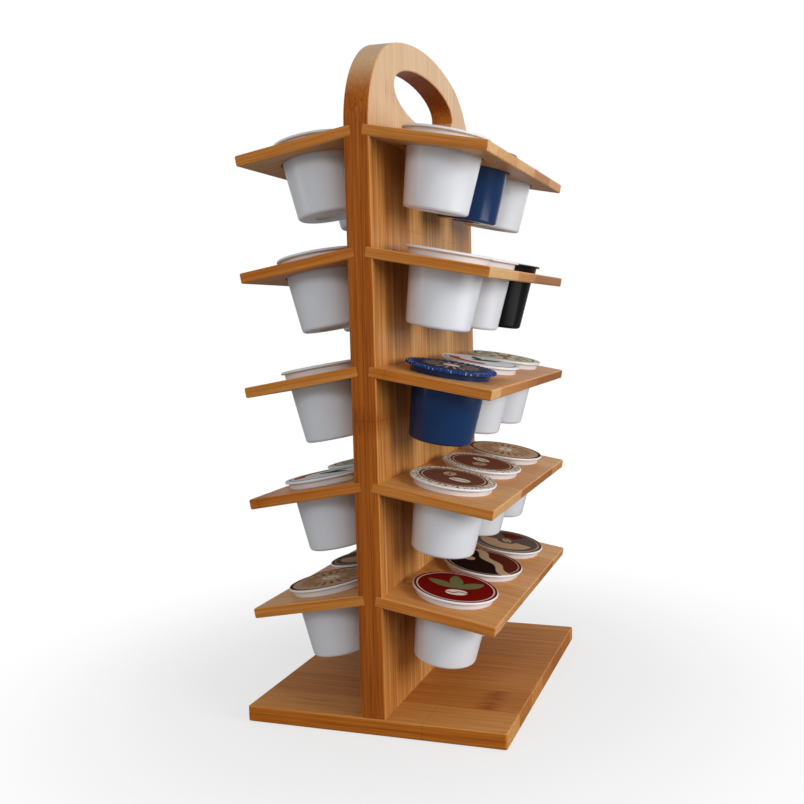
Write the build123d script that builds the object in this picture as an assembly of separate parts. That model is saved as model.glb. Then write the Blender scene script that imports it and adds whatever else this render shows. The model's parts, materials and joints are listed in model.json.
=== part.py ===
from build123d import *
import os

# A tower that stores single-serve coffee capsules. An upright spine board with a hand hole stands on
# a flat base, and sloping shelf boards, let into both of its faces, hold the capsules in round holes.
# X runs across the shelves, Y from front to back and Z up, in millimetres. The origin is in the middle
# of the base's underside.

# Capsule: a drawn plastic cup that hangs by its ledge, and the foil lid sealed to its rim.
rim_diameter = 51.0
rim_thickness = 1.2
rim_edge_radius = 0.4
rim_overhang = 2.0
collar_height = 3.6
collar_draft = 0.3
ledge_width = 1.2
body_drop = 38.8
body_draft = 3.4
foot_edge_radius = 2.0
sole_recess_depth = 1.4
sole_rim_width = 9.5
cup_wall = 0.8
lid_inset = 0.4
lid_thickness = 0.3

# Rows of capsules on the shelves
capsule_gap = 5.5
rim_to_spine = 6.8
rim_to_shelf_end = 10.0
rim_to_shelf_side = 8.0
hole_clearance = 0.5
place_names = {"front": -1, "middle": 0, "rear": 1}

# Shelf boards
tier_names = ("bottom", "lower", "centre", "upper", "top")
side_turns = {"right": 0.0, "left": 180.0}
bottom_shelf_height = 81.0
tier_pitch = 65.0
shelf_slope = 10.3
shelf_thickness = 6.0
dado_depth = 3.5
shelf_end_radius = 1.0
shelf_edge_radius = 0.7

# Spine board
spine_thickness = 15.0
handle_rise = 60.0
crown_radius = 175.0
shoulder_radius = 54.0
grip_height = 15.5
hand_hole_length = 103.0
hand_hole_height = 31.0
spine_edge_radius = 1.0

# Base board
base_width = 160.0
base_thickness = 9.5
base_margin = 1.0
base_corner_radius = 1.5
base_edge_radius = 1.0

# Countersunk wood screws, up through the base into the spine's foot
screw_spacing = 60.0
screw_places = (-1, 0, 1)
screw_length = 38.0
screw_diameter = 4.0
screw_head_diameter = 8.0
screw_head_height = 2.2
screw_tip_length = 5.0
screw_sink = 0.6
screw_clearance = 0.1
drive_slot_length = 4.4
drive_slot_width = 0.9
drive_slot_depth = 1.3

# How far each cut runs past the faces that it opens
overrun = 4.0

# Sizes that follow from those above
rim_radius = rim_diameter / 2
collar_top_radius = rim_radius - rim_overhang
collar_radius = collar_top_radius - collar_draft
body_radius = collar_radius - ledge_width
foot_radius = body_radius - body_draft
rim_top = collar_height + rim_thickness
capsule_pitch = rim_diameter + capsule_gap
capsule_reach = rim_to_spine + rim_radius
shelf_reach = capsule_reach + rim_radius + rim_to_shelf_end
shelf_length = shelf_reach + dado_depth
spine_depth = 2 * (capsule_pitch + rim_radius + rim_to_shelf_side)
spine_top = bottom_shelf_height + tier_pitch * (len(tier_names) - 1) + handle_rise
base_depth = spine_depth + 2 * base_margin


def shelf_frame(turn, tier):
    """Where a shelf's top meets the spine: X runs outwards down the slope, Z out of the shelf."""
    height = bottom_shelf_height + tier * tier_pitch
    return Pos(0, 0, height) * Rot(0, 0, turn) * Pos(spine_thickness / 2, 0, 0) * Rot(0, shelf_slope, 0)


def row_places():
    """The capsules' places along a shelf."""
    return [place * capsule_pitch for place in place_names.values()]


def screw_axes():
    """The screws' places along the spine's foot."""
    return [Pos(0, place * screw_spacing, 0) for place in screw_places]


def outline_edges(faces, axis):
    """The edges round two faces, but for the one that lies lowest along an axis on each."""
    return [edge for face in faces for edge in face.edges().sort_by(axis)[1:]]


def base_board():
    """A flat board with eased edges, bored and countersunk from below for the screws."""
    board = Pos(0, 0, base_thickness / 2) * Box(base_width, base_depth, base_thickness)
    board = fillet(board.edges().filter_by(Axis.Z), base_corner_radius)
    board = fillet(board.faces().sort_by(Axis.Z)[-1].edges(), base_edge_radius)
    board = fillet(board.faces().sort_by(Axis.Z)[0].edges(), base_edge_radius)
    bore_radius = screw_diameter / 2 + screw_clearance
    mouth_radius = screw_head_diameter / 2 + screw_clearance
    bore = Pos(0, 0, base_thickness / 2) * Cylinder(bore_radius, base_thickness + overrun)
    sink_top = screw_sink + screw_clearance
    mouth = Pos(0, 0, (sink_top - overrun) / 2) * Cylinder(mouth_radius, sink_top + overrun)
    countersink = Pos(0, 0, sink_top + screw_head_height / 2) * Cone(mouth_radius, bore_radius, screw_head_height)
    return board - [axis * (bore + mouth + countersink) for axis in screw_axes()]


def spine_board():
    """The upright: an arch of three arcs over an oval hand hole, dadoes for the shelves and pilot holes."""
    crown_centre = spine_top - crown_radius
    outline = Pos(0, (base_thickness + crown_centre) / 2) * Rectangle(spine_depth, crown_centre - base_thickness)
    crown = Circle(crown_radius) & Pos(0, crown_radius / 2) * Rectangle(spine_depth, crown_radius)
    outline += Pos(0, crown_centre) * crown
    outline = fillet(outline.vertices().sort_by(Axis.Y)[-2:], shoulder_radius)
    hole_height = spine_top - grip_height - hand_hole_height / 2
    outline -= Pos(0, hole_height) * Ellipse(hand_hole_length / 2, hand_hole_height / 2)
    board = extrude(Plane.YZ * outline, spine_thickness / 2, both=True)
    sides = board.faces().sort_by(Axis.X)
    board = fillet(outline_edges((sides[0], sides[-1]), Axis.Z), spine_edge_radius)
    dado = Box(dado_depth + overrun, spine_depth + overrun, shelf_thickness)
    dado = Pos((overrun - dado_depth) / 2, 0, -shelf_thickness / 2) * dado
    board -= [
        shelf_frame(turn, tier) * dado for turn in side_turns.values() for tier in range(len(tier_names))
    ]
    pilot_top = screw_sink + screw_length + screw_clearance
    pilot = Pos(0, 0, pilot_top / 2) * Cylinder(screw_diameter / 2 + screw_clearance, pilot_top)
    return board - [axis * pilot for axis in screw_axes()]


def shelf_board():
    """A square-cut board with a bull-nosed outer end and a row of holes, in its own shelf frame."""
    section = Rectangle(shelf_length, shelf_thickness)
    section = fillet(section.vertices().sort_by(Axis.X)[-2:], shelf_end_radius)
    board = extrude(Plane.XZ * section, spine_depth / 2, both=True)
    sides = board.faces().sort_by(Axis.Y)
    board = fillet(outline_edges((sides[0], sides[-1]), Axis.X), shelf_edge_radius)
    board = Pos((shelf_reach - dado_depth) / 2, 0, -shelf_thickness / 2) * board
    hole = Cylinder(body_radius + hole_clearance, 2 * shelf_thickness + overrun)
    return board - [Pos(capsule_reach, place, 0) * hole for place in row_places()]


def cup():
    """The cup turned about its axis: Z is zero at the ledge, which lies on the shelf."""
    sole = sole_recess_depth - body_drop
    sole_radius = foot_radius - sole_rim_width
    outside = [
        (0, sole), (sole_radius, sole), (sole_radius, -body_drop), (foot_radius, -body_drop),
        (body_radius, 0), (collar_radius, 0), (collar_top_radius, collar_height),
        (rim_radius, collar_height), (rim_radius, rim_top),
    ]
    inside = [
        (collar_top_radius - cup_wall, rim_top), (collar_radius - cup_wall, cup_wall),
        (body_radius - cup_wall, cup_wall), (foot_radius - cup_wall, sole + cup_wall), (0, sole + cup_wall),
    ]
    profile = make_face(Polyline(*outside, *inside, close=True))
    body = revolve(Plane.XZ * profile, Axis.Z)
    rings = body.edges().filter_by(GeomType.CIRCLE)
    body = fillet(rings.group_by(Axis.Z)[0].sort_by(SortBy.RADIUS)[-1], foot_edge_radius)
    rings = body.edges().filter_by(GeomType.CIRCLE)
    return fillet(rings.sort_by(SortBy.RADIUS)[-2:], rim_edge_radius)


def lid():
    """The foil disc sealed to the rim."""
    return Pos(0, 0, rim_top + lid_thickness / 2) * Cylinder(rim_radius - lid_inset, lid_thickness)


def screw():
    """A wood screw standing on its head, with a crossed drive recess and a pointed tip."""
    radius = screw_diameter / 2
    shank = screw_length - screw_head_height - screw_tip_length
    head = Pos(0, 0, screw_head_height / 2) * Cone(screw_head_diameter / 2, radius, screw_head_height)
    shaft = Pos(0, 0, screw_head_height + shank / 2) * Cylinder(radius, shank)
    tip = Pos(0, 0, screw_length - screw_tip_length / 2) * Cone(radius, 0, screw_tip_length)
    slot = Box(drive_slot_length, drive_slot_width, 2 * drive_slot_depth)
    return Pos(0, 0, screw_sink) * (head + shaft + tip - slot - Rot(0, 0, 90) * slot)


def write(name, *solids):
    """Writes one sub-part."""
    piece = solids[0] if len(solids) == 1 else Compound(children=list(solids))
    export_step(piece, f"parts/{name}.step")


def main():
    os.makedirs("parts", exist_ok=True)
    write("base_board", base_board())
    write("spine_board", spine_board())
    write("base_screws", *[axis * screw() for axis in screw_axes()])
    board, capsule_cup, capsule_lid = shelf_board(), cup(), lid()
    for side, turn in side_turns.items():
        for tier, tier_name in enumerate(tier_names):
            frame = shelf_frame(turn, tier)
            write(f"shelf_{side}_{tier_name}", frame * board)
            for place_name, place in zip(place_names, row_places()):
                seat = frame * Pos(capsule_reach, place if side == "right" else -place, 0)
                write(f"capsule_{side}_{tier_name}_{place_name}", seat * capsule_cup, seat * capsule_lid)


main()
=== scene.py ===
import json
import math
from dataclasses import dataclass, replace

import bmesh
import bpy
from mathutils import Matrix, Vector

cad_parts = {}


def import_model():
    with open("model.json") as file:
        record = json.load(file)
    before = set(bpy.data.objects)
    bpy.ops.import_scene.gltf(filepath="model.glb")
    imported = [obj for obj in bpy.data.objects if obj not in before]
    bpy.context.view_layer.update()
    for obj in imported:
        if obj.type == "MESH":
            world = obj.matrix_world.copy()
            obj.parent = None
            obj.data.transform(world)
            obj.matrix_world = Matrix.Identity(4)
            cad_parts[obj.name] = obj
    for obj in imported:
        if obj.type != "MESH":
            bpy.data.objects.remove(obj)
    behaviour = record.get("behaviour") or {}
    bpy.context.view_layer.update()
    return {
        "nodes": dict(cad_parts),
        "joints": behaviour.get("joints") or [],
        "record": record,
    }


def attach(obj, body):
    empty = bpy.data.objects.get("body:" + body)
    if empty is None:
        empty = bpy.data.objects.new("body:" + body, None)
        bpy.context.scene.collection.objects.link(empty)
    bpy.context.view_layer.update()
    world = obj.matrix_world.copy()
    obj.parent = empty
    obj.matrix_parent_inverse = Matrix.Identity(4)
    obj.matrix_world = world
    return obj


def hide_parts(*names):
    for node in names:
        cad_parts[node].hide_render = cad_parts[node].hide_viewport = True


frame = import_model()

# A bamboo tower of coffee capsules. The boards are the CAD model's own, with a bamboo finish, and
# every capsule is a turned cup with a printed foil lid that stands for its CAD node. Metres.

# Cup, measured from the ledge that lies on the shelf
rim_radius = 0.0255
rim_thickness = 0.0012
rim_edge_radius = 0.00045
collar_height = 0.0036
collar_top_radius = 0.0235
collar_radius = 0.0232
body_radius = 0.0220
foot_radius = 0.0186
foot_edge_radius = 0.002
body_drop = 0.0388
sole_recess = 0.0014
sole_radius = 0.0091
sole_step = 0.0006
gate_radius = 0.0024
gate_drop = 0.0004
cup_wall = 0.0008
moulded_edge_radius = 0.0003
rim_top = collar_height + rim_thickness

# Lid. The crown's steps are shares of the seal's inner radius and of the crown's height.
lid_radius = 0.0251
lid_thickness = 0.0003
lid_crown = 0.0002
crown_steps = ((0.75, 0.5), (0.4, 1.0), (0.0, 1.0))
seal_inner_radius = 0.0222
seal_outer_radius = 0.0244
seal_depth = 0.00012
skirt_gap = 0.00005
skirt_thickness = 0.00035
crimp_depth = 0.0003
crimp_count = 44

# How finely the cups and lids are turned and rounded
turning_steps = 88
crimp_steps = 264
edge_segments = 3
foot_segments = 6
merge_distance = 1e-6
sharp_angle = math.radians(32)

# Bamboo strips and the stem's nodes along them. Each strip is shifted along the grain by its own tone,
# and its nodes by its own blush.
seam_width = 0.0003
strip_shift = 2.7
blush_seed = 31.0
node_spacing = 0.31
node_shift = 9.0
node_line = 0.0008
node_reach = 0.011
node_wander = 0.006
board_half_depth = 0.09

# Marks in the bamboo: how often they come per metre along the grain and across it, and how fine they are
band_marks = dict(along=5.0, across=380.0, detail=2.0)
fibre_marks = dict(along=11.0, across=1250.0, detail=2.0, roughness=0.6)
hair_marks = dict(along=38.0, across=2700.0, detail=1.0)
cloud_marks = dict(along=9.0, across=22.0, detail=2.0)

# Where marks start to show and show in full: flecks where hairs and fibres are both strong, and a mottle
# of hairs round the nodes of the redder strips
fleck_hair = (0.58, 0.72)
fleck_fibre = (0.46, 0.62)
mottle_hair = (0.46, 0.58)
mottle_blush = (0.3, 0.5)

# How much each mark changes the wood's tone
tone_share = 0.22
edge_streaks = 0.5
fibre_share = 1.05
hair_share = 0.80
cloud_share = 0.22
worn_share = 0.14
fleck_share = 0.30
ridge_share = 0.14
mottle_share = 0.42
mottle_red = 0.5
seam_share = 0.16

# Painted light on the wood where a board is lit: paler, with weaker streaks, less red, more of a pale straw
# highlight and more gloss. A board whose painted light starts past its end has none.
painted_light_share = 0.22
painted_light_streaks = 0.5
painted_light_red = 0.9
painted_light_straw = 0.36
painted_light_gloss = 0.3
no_painted_light = (1.0, 1.1)

# How squarely a surface faces where an edge turns into a face, is worn, is a sawn end or is an upper end that
# takes painted light
face_turn = (0.2, 0.8)
worn_turn = (0.06, 0.22)
sawn_turn = (0.5, 0.9)
lit_upper_turn = (0.25, 0.75)

# The bamboo's surface: fibres and hairs stand up, seams and nodes lie in
bamboo_relief = 0.0001
fibre_rise = 0.6
hair_rise = 0.25
seam_sink = 0.6
ridge_sink = 0.3
fibre_range = (0.25, 0.75)
bamboo_roughness = (0.36, 0.50)
bamboo_sheen = 0.06
lacquer_roughness = 0.25

# Cup plastics, and the flow marks and the skin that moulding leaves, at rates per metre
cup_plastics = {
    "white_cup": dict(colour=(0.83, 0.855, 0.90), roughness=0.24, gloss=0.4),
    "blue_cup": dict(colour=(0.004, 0.031, 0.115), roughness=0.13, gloss=0.45),
    "black_cup": dict(colour=(0.005, 0.005, 0.005), roughness=0.24, gloss=0.11),
}
flow_rate_across = 30.0
flow_rate_up = 18.0
flow_range = (0.2, 0.8)
flow_tint = (0.975, 1.02)
flow_lift = 0.002
flow_roughness = (-0.02, 0.03)
skin_rate = 2600.0
skin_relief = 0.00002
skin_strength = 0.4

# Printed foil, whose places and rates are counted in rim radii
bare_edge = 0.978
foil_grain_rate = 60.0
foil_grain_range = (0.50, 0.85)
foil_grain_share = 0.03
crease_rate = 7.0
crease_range = (0.3, 0.7)
crease_relief = 0.0004
crease_strength = 0.5
foil_roughness = (0.50, 0.64)
print_gloss = 0.0
lapped_gloss = 0.1

# Screw plating
zinc_dull = (0.42, 0.42, 0.40)
zinc_bright = (0.62, 0.62, 0.60)
zinc_rate = 700.0
zinc_range = (0.3, 0.7)
zinc_roughness = (0.28, 0.46)

# Camera
camera_place = (0.2117, -0.5599, 0.2384)
camera_turn = (84.039, 0.773, 15.468)
camera_lens = 41.45
camera_sensor = 36.0
camera_shift = (-0.1281, 0.0124)

# Lamps, in watts, which all point at the middle of the tower
lamp_aim = (0.0, 0.0, 0.20)
lamps = {
    "window": dict(place=(1.35, -0.28, 0.48), width=0.6, height=0.7, power=12.0, colour=(0.99, 0.995, 1.0)),
    "front": dict(place=(0.45, -1.5, 0.95), width=1.6, height=0.4, power=6.0, colour=(0.95, 0.975, 1.0)),
    "left": dict(place=(-1.2, -0.8, 0.30), width=0.5, height=1.0, power=2.2, colour=(0.97, 0.98, 1.0)),
}

# Surroundings: an even light, and the room that glossy surfaces mirror, by depth and from side to side
world_light = 0.40
room_depth = (-0.6, 0.3)
room_depth_light = (0.16, 0.75)
room_side = (-0.5, 0.4)
room_side_light = (0.7, 1.4)

# Floor. Its sunlit patch shows only in mirrors: where it starts, is full, begins to fade and ends.
floor_size = 12.0
floor_drop = 0.0002
floor_dim = (0.32, 0.32, 0.32)
floor_pale = (0.80, 0.80, 0.80)
white = (1.0, 1.0, 1.0)
floor_gleam = 0.22
window_gleam = 3.0
sunlit_across = (0.40, 0.55, 0.80, 0.95)
sunlit_along = (-0.30, -0.15, 0.20, 0.35)
shadow_near = 0.10
shadow_far = 0.32
shadow_share = 0.66

# Colours from dark to light along the bamboo's fibres, and the lids' inks
honey_stops = (
    (0.0, (0.34, 0.130, 0.026)),
    (0.35, (0.51, 0.230, 0.058)),
    (0.65, (0.62, 0.325, 0.105)),
    (1.0, (0.74, 0.490, 0.230)),
)
russet_stops = (
    (0.0, (0.28, 0.060, 0.006)),
    (0.35, (0.46, 0.122, 0.012)),
    (0.65, (0.57, 0.178, 0.022)),
    (1.0, (0.68, 0.290, 0.065)),
)
# A pale straw that painted light mixes into lit bamboo, as a painted highlight
painted_highlight_straw = (0.76, 0.59, 0.42)
cream = (0.72, 0.66, 0.52)
white_print = (0.77, 0.79, 0.81)
foil_grey = (0.75, 0.72, 0.68)
tan = (0.50, 0.33, 0.20)
leaf_green = (0.040, 0.11, 0.050)
olive = (0.16, 0.15, 0.060)
brick = (0.48, 0.085, 0.02)
wine = (0.17, 0.004, 0.003)
chestnut = (0.105, 0.018, 0.009)
cocoa = (0.175, 0.058, 0.036)
cinnamon = (0.26, 0.105, 0.055)
espresso = (0.020, 0.007, 0.005)
slate = (0.125, 0.088, 0.072)
navy = (0.009, 0.018, 0.050)
foil_blue = (0.010, 0.044, 0.20)


class Value:
    """A shader socket: sums and products of it add Math nodes to its material."""

    def __init__(self, paint, socket):
        self.paint = paint
        self.socket = socket

    def sibling(self, name):
        """Another output of the socket's node."""
        return Value(self.paint, self.socket.node.outputs[name])

    def __add__(self, other):
        return self.paint.math("ADD", self, other)

    def __radd__(self, other):
        return self.paint.math("ADD", other, self)

    def __sub__(self, other):
        return self.paint.math("SUBTRACT", self, other)

    def __rsub__(self, other):
        return self.paint.math("SUBTRACT", other, self)

    def __mul__(self, other):
        return self.paint.math("MULTIPLY", self, other)

    def __rmul__(self, other):
        return self.paint.math("MULTIPLY", other, self)

    def __truediv__(self, other):
        return self.paint.math("DIVIDE", self, other)

    def __rtruediv__(self, other):
        return self.paint.math("DIVIDE", other, self)

    def __abs__(self):
        return self.paint.math("ABSOLUTE", self)

    def floor(self):
        return self.paint.math("FLOOR", self)

    def fraction(self):
        return self.paint.math("FRACT", self)

    def sine(self):
        return self.paint.math("SINE", self)

    def root(self):
        return self.paint.math("SQRT", self)

    def larger(self, other):
        return self.paint.math("MAXIMUM", self, other)

    def ease(self, start, end, low=0.0, high=1.0):
        """Runs smoothly from low, where the value is at start, to high, where it is at end."""
        sockets = {"Value": self, "From Min": start, "From Max": end, "To Min": low, "To Max": high}
        return self.paint.node("MapRange", {"interpolation_type": "SMOOTHSTEP"}, sockets)


class Paint:
    """The node tree of a material or a world."""

    def __init__(self, owner):
        self.owner = owner
        owner.use_nodes = True
        self.tree = owner.node_tree
        self.tree.nodes.clear()

    def node(self, kind, settings=None, sockets=None):
        """Adds a node, with its settings first and then its sockets, and gives its first output."""
        made = self.tree.nodes.new("ShaderNode" + kind)
        for key, setting in (settings or {}).items():
            if key == "stops":
                self.set_stops(made.color_ramp, setting)
            else:
                setattr(made, key, setting)
        for key, given in (sockets or {}).items():
            if isinstance(given, Value):
                self.tree.links.new(given.socket, made.inputs[key])
            else:
                made.inputs[key].default_value = given
        return Value(self, made.outputs[0]) if made.outputs else None

    def math(self, operation, *parts):
        return self.node("Math", {"operation": operation}, dict(enumerate(parts)))

    @staticmethod
    def set_stops(ramp, stops):
        while len(ramp.elements) < len(stops):
            ramp.elements.new(1.0)
        for element, (place, colour) in zip(ramp.elements, stops):
            element.position = place
            element.color = (*colour, 1.0)

    def place(self, source="Object"):
        """Where a point lies on the object or on its UV map, or which way it faces, as X, Y and Z."""
        point = self.node("TexCoord").sibling(source)
        parts = self.node("SeparateXYZ", None, {0: point})
        return [parts.sibling(axis) for axis in "XYZ"]

    def vector(self, x, y, z):
        return self.node("CombineXYZ", None, {0: x, 1: y, 2: z})

    def noise(self, point, detail, roughness=0.5):
        sockets = {"Vector": point, "Scale": 1.0, "Detail": detail, "Roughness": roughness}
        return self.node("TexNoise", None, sockets)

    def chance(self, x, y):
        """A chance number from 0 to 1, the same one wherever x and y are the same."""
        return self.node("TexWhiteNoise", {"noise_dimensions": "2D"}, {"Vector": self.vector(x, y, 0.0)})

    def ramp(self, value, stops):
        return self.node("ValToRGB", {"stops": stops}, {0: value})

    def mix(self, share, first, second):
        """Goes from the first colour to the second as share goes from 0 to 1."""
        sockets = {0: share, 6: self.colour(first), 7: self.colour(second)}
        return self.node("Mix", {"data_type": "RGBA"}, sockets).sibling(2)

    @staticmethod
    def colour(given):
        return given if isinstance(given, Value) else (*given, 1.0)

    def bump(self, height, distance, strength=1.0):
        sockets = {"Strength": strength, "Distance": distance, "Height": height}
        return self.node("Bump", None, sockets)

    def finish(self, **sockets):
        """Joins the surface's sockets to a Principled shader and gives the material."""
        named = {key.replace("_", " "): given for key, given in sockets.items()}
        surface = self.node("BsdfPrincipled", None, named)
        return self.output(surface)

    def output(self, surface):
        self.node("OutputMaterial", None, {"Surface": surface})
        return self.owner


def new_paint(name):
    return Paint(bpy.data.materials.new(name))


@dataclass
class BoardFinish:
    """How a board's bamboo looks. seed picks which strips are dark and which are red, light is the wood's
    middle tone, streaks how strong its broad bands are, and face_red how red the least and the most red strip
    are. edge_red and edge_dark are for its edges. On a sawn end, end_red is a share of the edges' red,
    end_contrast sets the strips apart and painted_rear_shade is painted shade that darkens the rear. gloss is
    the lacquer's, and faded is where, along the grain, painted light starts to pale the board and has paled
    it in full."""

    seed: float
    strip_width: float
    light: float
    face_red: tuple
    edge_red: float
    end_red: float
    end_contrast: float
    painted_rear_shade: float
    gloss: float
    streaks: float = edge_streaks
    edge_dark: float = 0.0
    painted_light_reach: tuple = no_painted_light


base_finish = BoardFinish(
    seed=381.2, strip_width=0.029, light=0.44, face_red=(0.40, 0.62), edge_red=1.0,
    end_red=0.4, end_contrast=0.3, painted_rear_shade=0.2, gloss=0.0,
)
# The spine's handle takes painted light: its wood is paled as if brightly lit above the handle's foot
spine_finish = BoardFinish(
    seed=436.2, strip_width=0.030, light=0.45, face_red=(0.0, 0.55), edge_red=1.0,
    end_red=1.0, end_contrast=0.2, painted_rear_shade=0.4, gloss=0.16,
    streaks=1.3, edge_dark=0.13, painted_light_reach=(0.325, 0.360),
)
shelf_finish = BoardFinish(
    seed=48.7, strip_width=0.042, light=0.64, face_red=(0.25, 0.58), edge_red=0.95,
    end_red=0.3, end_contrast=0.7, painted_rear_shade=0.5, gloss=0.2,
)
shelf_seed_step = 3.0


class BambooFigure:
    """What shows at a point of a laminated board: its strip's tone and blush, fibres, flecks and the stem's
    nodes. grain turns a point, or a normal, into its parts along, across and through the strips."""

    def __init__(self, paint, grain, finish):
        self.paint = paint
        self.along, self.across, self.through = grain(*paint.place())
        self.end, _, facing = grain(*paint.place("Normal"))
        strips = self.across / finish.strip_width + finish.seed
        strip = strips.floor()
        self.tone = paint.chance(strip, finish.seed)
        self.blush = paint.chance(strip, finish.seed + blush_seed)
        self.run = self.along + self.tone * strip_shift
        self.band = self.marks(**band_marks)
        self.fibre = self.marks(**fibre_marks)
        self.hair = self.marks(**hair_marks)
        self.cloud = self.marks(**cloud_marks)
        self.fleck = self.hair.ease(*fleck_hair) * self.fibre.ease(*fleck_fibre)
        self.seam = abs(strips.fraction() - 0.5).ease(0.5 - seam_width / finish.strip_width, 0.5)
        from_node = (self.run / node_spacing + self.blush * node_shift).fraction() - 0.5
        knuckle = abs(from_node * node_spacing + (self.cloud - 0.5) * node_wander)
        self.ridge = knuckle.ease(node_line, 0.0)
        self.mottle = knuckle.ease(node_reach, 0.0) * self.hair.ease(*mottle_hair)
        self.mottle = self.mottle * self.blush.ease(*mottle_blush)
        self.flat = facing * facing
        self.worn = (self.flat * (1.0 - self.flat)).ease(*worn_turn)
        self.sawn = (self.end * self.end).ease(*sawn_turn)
        # Painted light: past a reach along the grain, faces and upward ends are paled as if strongly lit
        self.painted_light = self.along.ease(*finish.painted_light_reach) * self.flat.larger(self.end.ease(*lit_upper_turn))

    def marks(self, along, across, detail, roughness=0.5):
        """Noise drawn out along the grain."""
        point = self.paint.vector(self.run * along, self.across * across, self.through * across)
        return self.paint.noise(point, detail, roughness)

    def shade(self, finish):
        """How light the wood is, from 0 to 1."""
        tone = self.tone - 0.5
        # Painted light weakens the broad streaks here and pales the wood below
        streaks = self.flat.ease(*face_turn, edge_streaks, finish.streaks) * (1.0 - self.painted_light * painted_light_streaks)
        shade = tone * tone_share + (self.band - 0.5) * streaks + finish.light
        shade = shade + (self.fibre - 0.5) * fibre_share + (self.hair - 0.5) * hair_share
        shade = shade + (self.cloud - 0.5) * cloud_share + self.painted_light * painted_light_share + self.worn * worn_share
        shade = shade - (1.0 - self.flat) * (1.0 - self.painted_light) * finish.edge_dark
        shade = shade - self.fleck * fleck_share - self.ridge * ridge_share
        shade = shade - self.mottle * mottle_share - self.seam * seam_share
        # Painted shade: sawn ends grow darker towards the rear of the board, as if less lit there; on the
        # spine this darkens the inside of the hand hole too
        rear = self.across.ease(-board_half_depth, board_half_depth)
        return shade + self.sawn * (tone * finish.end_contrast - rear * finish.painted_rear_shade)

    def red(self, finish):
        """How far the wood goes from honey to russet."""
        low, high = finish.face_red
        red = self.flat.ease(*face_turn, finish.edge_red, self.blush * (high - low) + low)
        # Painted light takes red out of the wood
        red = red * (1.0 - self.painted_light * painted_light_red) * (1.0 - self.sawn * (1.0 - finish.end_red))
        return red + self.mottle * mottle_red

    def relief(self):
        """How far the wood stands up."""
        raised = self.fibre * fibre_rise + self.hair * hair_rise
        return raised - self.seam * seam_sink - self.ridge * ridge_sink


def bamboo(name, grain, finish):
    """Laminated bamboo with worn edges under a thin lacquer, paled by painted light where a board is lit, and
    with painted shade at the rear of its sawn ends.
    """
    paint = new_paint(name)
    figure = BambooFigure(paint, grain, finish)
    shade = figure.shade(finish)
    honey = paint.ramp(shade, honey_stops)
    russet = paint.ramp(shade, russet_stops)
    colour = paint.mix(figure.red(finish), honey, russet)
    return paint.finish(
        # Painted light mixes in a pale straw highlight and adds gloss
        Base_Color=paint.mix(figure.painted_light * painted_light_straw, colour, painted_highlight_straw),
        Roughness=figure.fibre.ease(*fibre_range, *bamboo_roughness),
        Normal=paint.bump(figure.relief(), bamboo_relief),
        Specular_IOR_Level=bamboo_sheen,
        Coat_Weight=figure.painted_light * painted_light_gloss + finish.gloss,
        Coat_Roughness=lacquer_roughness,
    )


def upright_grain(x, y, z):
    return z, y, x


def level_grain(x, y, z):
    return x, y, z


def sloping_grain(slope):
    """The grain of a shelf whose strips run down its slope."""
    def turn(x, y, z):
        return x * math.cos(slope) - z * math.sin(slope), y, x * math.sin(slope) + z * math.cos(slope)
    return turn


def moulded_plastic(name, colour, roughness, gloss):
    """Moulded cup plastic with a faint flow pattern and a fine skin."""
    paint = new_paint(name)
    x, y, z = paint.place()
    flow = paint.noise(paint.vector(x * flow_rate_across, y * flow_rate_across, z * flow_rate_up), detail=1.0)
    skin = paint.noise(paint.vector(x * skin_rate, y * skin_rate, z * skin_rate), detail=1.0)
    deep, pale = flow_tint
    deeper = tuple(part * deep for part in colour)
    paler = tuple(part * pale + flow_lift for part in colour)
    smooth, rough = flow_roughness
    return paint.finish(
        Base_Color=paint.mix(flow.ease(*flow_range), deeper, paler),
        Roughness=flow.ease(*flow_range, roughness + smooth, roughness + rough),
        Normal=paint.bump(skin, skin_relief, skin_strength),
        Specular_IOR_Level=gloss,
    )


def screw_steel():
    """Zinc-plated steel, faintly mottled."""
    paint = new_paint("screw_steel")
    x, y, z = paint.place()
    mottle = paint.noise(paint.vector(x * zinc_rate, y * zinc_rate, z * zinc_rate), detail=3.0)
    return paint.finish(
        Base_Color=paint.mix(mottle, zinc_dull, zinc_bright),
        Metallic=1.0,
        Roughness=mottle.ease(*zinc_range, *zinc_roughness),
    )


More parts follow.
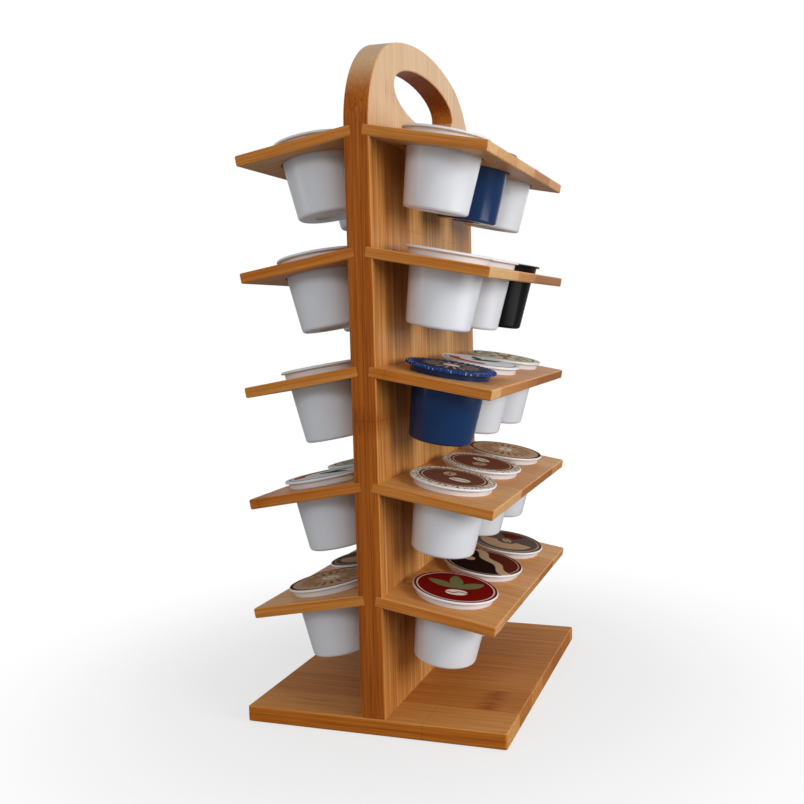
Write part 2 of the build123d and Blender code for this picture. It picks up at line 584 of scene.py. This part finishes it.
class LidFace:
    """The printed face of a lid: centred places on it, where 1 is the rim's edge, and shapes drawn there.
    A bean's sizes are shares of its length."""

    soft = 0.014
    bean_width = 0.66
    cleft_width = 0.09
    cleft_bend = 0.12
    cleft_wave = 5.0

    def __init__(self, paint):
        self.paint = paint
        u, v, _ = paint.place("UV")
        self.x = u * 2.0 - 1.0
        self.y = v * 2.0 - 1.0
        self.reach = (self.x * self.x + self.y * self.y).root()
        self.turn = paint.math("ARCTAN2", self.y, self.x) / math.tau

    def within(self, distance, edge):
        return distance.ease(edge + self.soft, edge - self.soft)

    def rotated(self, turn, x=0.0, y=0.0):
        """Places seen from another point and another angle, in turns."""
        angle = turn * math.tau
        across, up = self.x - x, self.y - y
        return (across * math.cos(angle) + up * math.sin(angle),
                up * math.cos(angle) - across * math.sin(angle))

    def oval(self, x, y, turn, length, width):
        along, side = self.rotated(turn, x, y)
        along, side = along / length, side / width
        return self.within((along * along + side * side).root(), 1.0)

    def disc(self, x, y, radius):
        return self.oval(x, y, 0.0, radius, radius)

    def ring(self, radius, width):
        return self.within(abs(self.reach - radius), width / 2)

    def arc(self, radius, width, middle, share):
        """Part of a ring, about a middle in turns."""
        away = abs((self.turn - middle + 0.5).fraction() - 0.5)
        return self.ring(radius, width) * self.within(away, share / 2)

    def rays(self, count, share, inner, outer):
        """Bars that point outwards, between two radii."""
        away = abs((self.turn * count).fraction() - 0.5)
        between = self.within(self.reach, outer) * (1.0 - self.within(self.reach, inner))
        return self.within(away, share / 2) * between

    def specks(self, rate, layer, low, high):
        """Scattered specks: rate makes them small, layer scatters them anew, low and high make them few."""
        point = self.paint.vector(self.x * rate, self.y * rate, layer)
        return self.paint.noise(point, detail=1.0).ease(low, high)

    def leaf(self, x, y, turn, length, width):
        """A pointed leaf: what two equal discs share."""
        along, side = self.rotated(turn, x, y)
        bow = (length * length - width * width) / (2 * width)
        near, far = side - bow, side + bow
        first = self.within((along * along + near * near).root(), bow + width)
        second = self.within((along * along + far * far).root(), bow + width)
        return first * second

    def bean(self, x, y, turn, length):
        """A coffee bean: an oval with a bent cleft."""
        along, side = self.rotated(turn, x, y)
        bend = (along * (self.cleft_wave / length)).sine() * (length * self.cleft_bend)
        cleft = self.within(abs(side - bend), length * self.cleft_width)
        return self.oval(x, y, turn, length, length * self.bean_width) * (1.0 - cleft)

    def hills(self, turn, level, height, pitch):
        along, side = self.rotated(turn)
        return self.within(side - (along * pitch).sine() * height, level)


def meadow(face):
    return white_print, [
        (face.ring(0.88, 0.03), leaf_green),
        (face.arc(0.66, 0.26, 0.62, 0.30), brick),
        (face.leaf(0.18, 0.12, 0.10, 0.52, 0.15), leaf_green),
        (face.leaf(-0.08, 0.30, 0.28, 0.40, 0.12), leaf_green),
    ]


def orchard(face):
    return wine, [
        (face.leaf(-0.32, 0.10, 0.40, 0.40, 0.16), olive),
        (face.leaf(0.02, 0.30, 0.25, 0.44, 0.16), olive),
        (face.leaf(0.36, 0.10, 0.10, 0.40, 0.16), olive),
        (face.bean(0.0, -0.40, 0.02, 0.26), cream),
        (face.ring(0.90, 0.026), cream),
    ]


def harvest(face):
    return espresso, [
        (face.hills(0.06, -0.10, 0.07, 6.0), tan),
        (face.hills(0.06, -0.34, 0.06, 7.0), chestnut),
        (face.disc(0.12, 0.36, 0.15), tan),
        (face.ring(0.90, 0.028), tan),
    ]


def terrace(face):
    return slate, [
        (face.arc(0.50, 0.46, 0.05, 0.46), tan),
        (face.arc(0.50, 0.46, 0.55, 0.16), chestnut),
        (face.ring(0.88, 0.03), tan),
        (face.bean(0.0, 0.0, 0.16, 0.18), tan),
    ]


def bakery(face):
    speck = face.specks(17.0, 3.0, 0.53, 0.57)
    return cream, [
        (speck * face.ring(0.90, 0.20), cocoa),
        (face.disc(0.0, 0.0, 0.80), cocoa),
        (face.ring(0.73, 0.018), cream),
        (face.bean(-0.24, 0.05, 0.08, 0.25), cream),
        (face.bean(0.26, -0.14, 0.32, 0.22), tan),
    ]


def toffee(face):
    return tan, [
        (face.ring(0.95, 0.09), chestnut),
        (face.rays(20, 0.40, 0.40, 0.70), cinnamon),
        (face.bean(0.0, 0.0, 0.12, 0.27), cream),
    ]


def evening(face):
    glint = face.specks(34.0, 5.0, 0.63, 0.68)
    return navy, [
        (face.rays(18, 0.32, 0.28, 0.64), tan),
        (face.disc(0.0, 0.0, 0.20), cream),
        (1.0 - face.disc(0.0, 0.0, 0.84), foil_blue),
        (glint * (1.0 - face.disc(0.0, 0.0, 0.90)), foil_grey),
    ]


def garden(face):
    return cream, [
        (face.rays(9, 0.34, 0.36, 0.66), leaf_green),
        (face.ring(0.80, 0.05), leaf_green),
        (face.disc(0.0, 0.0, 0.20), brick),
    ]


def ribbon(face):
    return white_print, [
        (face.arc(0.78, 0.12, 0.30, 0.46), brick),
        (face.bean(0.0, -0.05, 0.2, 0.30), slate),
    ]


def plain_foil(face):
    return white_print, [
        (face.ring(0.60, 0.020), slate),
        (face.ring(0.66, 0.012), tan),
    ]


def lid_print(name, design, lapped):
    """Printed foil: a field of colour with generic shapes, and creases in the foil. Its edge is bare,
    except on a lid that laps over the rim."""
    paint = new_paint(name)
    face = LidFace(paint)
    colour, layers = design(face)
    for mask, ink in layers:
        colour = paint.mix(mask, colour, ink)
    grain = paint.noise(paint.vector(face.x * foil_grain_rate, face.y * foil_grain_rate, 0.0), detail=2.0)
    colour = paint.mix(grain.ease(*foil_grain_range) * foil_grain_share, colour, foil_grey)
    if not lapped:
        colour = paint.mix(1.0 - face.within(face.reach, bare_edge), colour, white_print)
    wave = paint.vector(face.x * crease_rate, face.y * crease_rate, 0.0)
    crease = paint.noise(wave, detail=3.0, roughness=0.6)
    return paint.finish(
        Base_Color=colour,
        Roughness=crease.ease(*crease_range, *foil_roughness),
        Normal=paint.bump(crease, crease_relief, crease_strength),
        Specular_IOR_Level=lapped_gloss if lapped else print_gloss,
    )


def turned(profile, steps=turning_steps):
    """A shell turned about Z from points of radius and height, closed where they reach the axis."""
    shell = bmesh.new()
    points = [shell.verts.new((radius, 0.0, height)) for radius, height in profile]
    for first, second in zip(points, points[1:]):
        shell.edges.new((first, second))
    bmesh.ops.spin(
        shell, geom=shell.verts[:] + shell.edges[:], cent=(0, 0, 0), axis=(0, 0, 1),
        angle=math.tau, steps=steps, use_merge=True,
    )
    bmesh.ops.remove_doubles(shell, verts=shell.verts, dist=merge_distance)
    bmesh.ops.recalc_face_normals(shell, faces=shell.faces)
    return shell


def round_ring(shell, radius, height, edge_radius, segments=edge_segments):
    """Rounds the ring of edges at a radius and a height."""
    def on_ring(vertex):
        out, up = vertex.co.xy.length - radius, vertex.co.z - height
        return max(abs(out), abs(up)) <= merge_distance

    ring = [edge for edge in shell.edges if all(on_ring(vertex) for vertex in edge.verts)]
    bmesh.ops.bevel(
        shell, geom=ring, offset=edge_radius, segments=segments, profile=0.5, affect="EDGES", material=-1,
    )


def cup_shell():
    """The cup, from the middle of its sole, up its outside and down its inside."""
    sole = sole_recess - body_drop
    inner_sole = sole + cup_wall
    shell = turned([
        (0, sole - gate_drop), (gate_radius, sole - gate_drop), (gate_radius + gate_drop, sole),
        (sole_radius - sole_step, sole), (sole_radius, -body_drop), (foot_radius, -body_drop),
        (body_radius, 0), (collar_radius, 0), (collar_top_radius, collar_height),
        (rim_radius, collar_height), (rim_radius, rim_top),
        (collar_top_radius - cup_wall, rim_top), (collar_radius - cup_wall, cup_wall),
        (body_radius - cup_wall, cup_wall), (foot_radius - cup_wall, inner_sole), (0, inner_sole),
    ])
    round_ring(shell, foot_radius, -body_drop, foot_edge_radius, foot_segments)
    round_ring(shell, rim_radius, collar_height, rim_edge_radius)
    round_ring(shell, rim_radius, rim_top, rim_edge_radius)
    round_ring(shell, collar_top_radius, collar_height, moulded_edge_radius)
    round_ring(shell, collar_radius, 0, moulded_edge_radius)
    return shell


def lid_shell():
    """The foil lid: a slight crown inside a pressed seal ring."""
    top = rim_top + lid_thickness
    shell = turned([(0, rim_top), (lid_radius, rim_top), (lid_radius, top - seal_depth)] + lid_top(top))
    map_face(shell)
    return shell


def gathered_lid_shell():
    """A foil lid that laps over the rim's edge, where it is gathered into small folds."""
    top = rim_top + lid_thickness
    inner = rim_radius + skirt_gap
    outer = inner + skirt_thickness
    shell = turned([
        (0, rim_top), (inner, rim_top), (inner, collar_height), (outer, collar_height),
        (outer, rim_top - seal_depth), (lid_radius, top - seal_depth),
    ] + lid_top(top), crimp_steps)
    for vertex in shell.verts:
        if vertex.co.xy.length > lid_radius - seal_depth:
            fold = math.sin(crimp_count * math.atan2(vertex.co.y, vertex.co.x))
            vertex.co.xy *= 1.0 + crimp_depth * (1.0 + fold) / rim_radius
            vertex.co.z += crimp_depth * fold * (vertex.co.z > rim_top)
    map_face(shell)
    return shell


def lid_top(top):
    """The profile of a lid's upper face, from its seal ring to its middle."""
    seal = [
        (seal_outer_radius, top), (seal_outer_radius - seal_depth, top - seal_depth),
        (seal_inner_radius + seal_depth, top - seal_depth), (seal_inner_radius, top),
    ]
    return seal + [(seal_inner_radius * out, top + lid_crown * rise) for out, rise in crown_steps]


def map_face(shell):
    """A UV map seen from straight above the lid, with the rim's circle filling it."""
    layer = shell.loops.layers.uv.new("print")
    for face in shell.faces:
        for loop in face.loops:
            spot = loop.vert.co
            loop[layer].uv = (0.5 + 0.5 * spot.x / rim_radius, 0.5 + 0.5 * spot.y / rim_radius)


def piece(name, shell, seat, material):
    """Adds a shell at its seat, with smooth faces and its place in its mesh."""
    shell.transform(seat)
    mesh = bpy.data.meshes.new(name)
    shell.to_mesh(mesh)
    shell.free()
    mesh.shade_smooth()
    mesh.set_sharp_from_angle(angle=sharp_angle)
    mesh.materials.append(material)
    made = bpy.data.objects.new(name, mesh)
    bpy.context.scene.collection.objects.link(made)
    return made


def seat_of(node, axis):
    """A capsule's own frame, read from its CAD node: the ledge's centre, and Z along the way it lifts."""
    up = Vector(axis).normalized()
    across = Vector((0.0, 1.0, 0.0))
    along = across.cross(up)
    points = [vertex.co for vertex in frame["nodes"][node].data.vertices]

    def middle(direction):
        reach = [point.dot(direction) for point in points]
        return (min(reach) + max(reach)) / 2

    highest = max(point.dot(up) for point in points)
    centre = along * middle(along) + across * middle(across) + up * (highest - rim_top - lid_thickness)
    turn = Matrix((along, across, up)).transposed().to_4x4()
    return Matrix.Translation(centre) @ turn


# The lids of each row, from front to rear, and the turns, in radians, that they take one after another
designs = {
    "right_top": (plain_foil, harvest, plain_foil),
    "right_upper": (ribbon, plain_foil, terrace),
    "right_centre": (evening, meadow, garden),
    "right_lower": (bakery, bakery, toffee),
    "right_bottom": (orchard, harvest, terrace),
    "left_top": (plain_foil, ribbon, meadow),
    "left_upper": (plain_foil, garden, bakery),
    "left_centre": (toffee, harvest, ribbon),
    "left_lower": (meadow, garden, orchard),
    "left_bottom": (toffee, terrace, harvest),
}
place_names = ("front", "middle", "rear")
lid_turns = (0.35, 1.9, 4.4, 2.7, 5.3, 0.9, 3.6)


def dress_capsules():
    """Puts a cup and a lid in the place of every capsule of the CAD model."""
    cups = {name: moulded_plastic(name, **finish) for name, finish in cup_plastics.items()}
    prints = {}
    slots = {part["node"]: part["material_slot"] for part in frame["record"]["subparts"]}
    for count, joint in enumerate(frame["joints"]):
        body = joint["child"]
        spot = body.removeprefix("capsule_")
        row, place = spot.rsplit("_", 1)
        design = designs[row][place_names.index(place)]
        seat = seat_of(body, joint["axis"])
        slot = slots[body]
        lapped = design is evening
        if design not in prints:
            prints[design] = lid_print("lid_" + design.__name__, design, lapped)
        cup = piece("cup_" + spot, cup_shell(), seat, cups[slot])
        lid = gathered_lid_shell() if lapped else lid_shell()
        turn = Matrix.Rotation(lid_turns[count % len(lid_turns)], 4, "Z")
        cover = piece("lid_" + spot, lid, seat @ turn, prints[design])
        for made in (cup, cover):
            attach(made, body)
        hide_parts(body)


def dress_boards():
    """Gives every board its own bamboo, and the screws their plating."""
    finishes = {
        "base_board": bamboo("bamboo_base", level_grain, base_finish),
        "spine_board": bamboo("bamboo_spine", upright_grain, spine_finish),
        "base_screws": screw_steel(),
    }
    lifts = {joint["child"]: joint["axis"] for joint in frame["joints"]}
    shelves = sorted(node for node in frame["nodes"] if node.startswith("shelf_"))
    for count, node in enumerate(shelves):
        axis = lifts[node.replace("shelf_", "capsule_") + "_front"]
        slope = math.atan2(axis[0], axis[2])
        finish = replace(shelf_finish, seed=shelf_finish.seed + shelf_seed_step * count)
        finishes[node] = bamboo("bamboo_" + node, sloping_grain(slope), finish)
    for node, material in finishes.items():
        slots = frame["nodes"][node].data.materials
        slots.clear()
        slots.append(material)


def ray_kinds(paint):
    """1 for rays that the camera sends, straight or through glass, and 1 for rays that a surface mirrors."""
    camera_ray = paint.node("LightPath").sibling("Is Camera Ray")
    return camera_ray.larger(camera_ray.sibling("Is Transmission Ray")), camera_ray.sibling("Is Glossy Ray")


def stripe(value, start, full, fading, end):
    """1 from full to fading, and 0 before start and after end."""
    return value.ease(start, full) * value.ease(end, fading)


def floor():
    """A pale floor that fades to white away from the object and keeps its shadow."""
    paint = new_paint("pale_floor")
    x, y, _ = paint.place()
    seen, mirrored = ray_kinds(paint)
    away = (x * x + y * y).root().ease(shadow_near, shadow_far, shadow_share, 1.0)
    sunlit = stripe(x, *sunlit_across) * stripe(y, *sunlit_along)
    glow = paint.mix(mirrored, white, sunlit * window_gleam + floor_gleam)
    matt = paint.node("BsdfDiffuse", None, {"Color": paint.mix(seen, floor_dim, floor_pale)})
    bright = paint.node("Emission", None, {"Color": glow})
    share = (seen * away).larger(mirrored)
    material = paint.output(paint.node("MixShader", None, {0: share, 1: matt, 2: bright}))
    shell = bmesh.new()
    bmesh.ops.create_grid(shell, x_segments=1, y_segments=1, size=floor_size / 2)
    piece("floor", shell, Matrix.Translation((0.0, 0.0, -floor_drop)), material)


def world():
    """White where it is seen and an even light elsewhere. In mirrors it is a room that is dim in front and
    to the left."""
    made = bpy.data.worlds.new("studio")
    bpy.context.scene.world = made
    paint = Paint(made)
    side, depth, _ = paint.place()
    seen, mirrored = ray_kinds(paint)
    room = depth.ease(*room_depth, *room_depth_light) * side.ease(*room_side, *room_side_light)
    even = (1.0 - seen.larger(mirrored)) * world_light
    strength = seen.larger(mirrored * room) + even
    sky = paint.node("Background", None, {"Color": paint.colour(white), "Strength": strength})
    paint.node("OutputWorld", None, {"Surface": sky})


def lamp(name, place, width, height, power, colour):
    """A soft rectangular lamp that points at the middle of the tower."""
    light = bpy.data.lights.new(name, "AREA")
    light.shape = "RECTANGLE"
    light.size = width
    light.size_y = height
    light.energy = power
    light.color = colour
    made = bpy.data.objects.new(name, light)
    made.location = place
    made.rotation_euler = (Vector(lamp_aim) - Vector(place)).to_track_quat("-Z", "Y").to_euler()
    bpy.context.scene.collection.objects.link(made)


def lights():
    for name, setting in lamps.items():
        lamp(name, **setting)


def camera():
    lens = bpy.data.cameras.new("camera")
    lens.lens = camera_lens
    lens.sensor_width = camera_sensor
    lens.shift_x, lens.shift_y = camera_shift
    made = bpy.data.objects.new("camera", lens)
    made.location = camera_place
    made.rotation_euler = [math.radians(angle) for angle in camera_turn]
    bpy.context.scene.collection.objects.link(made)
    bpy.context.scene.camera = made


bpy.context.scene.view_settings.view_transform = "Standard"
dress_boards()
dress_capsules()
floor()
world()
lights()
camera()
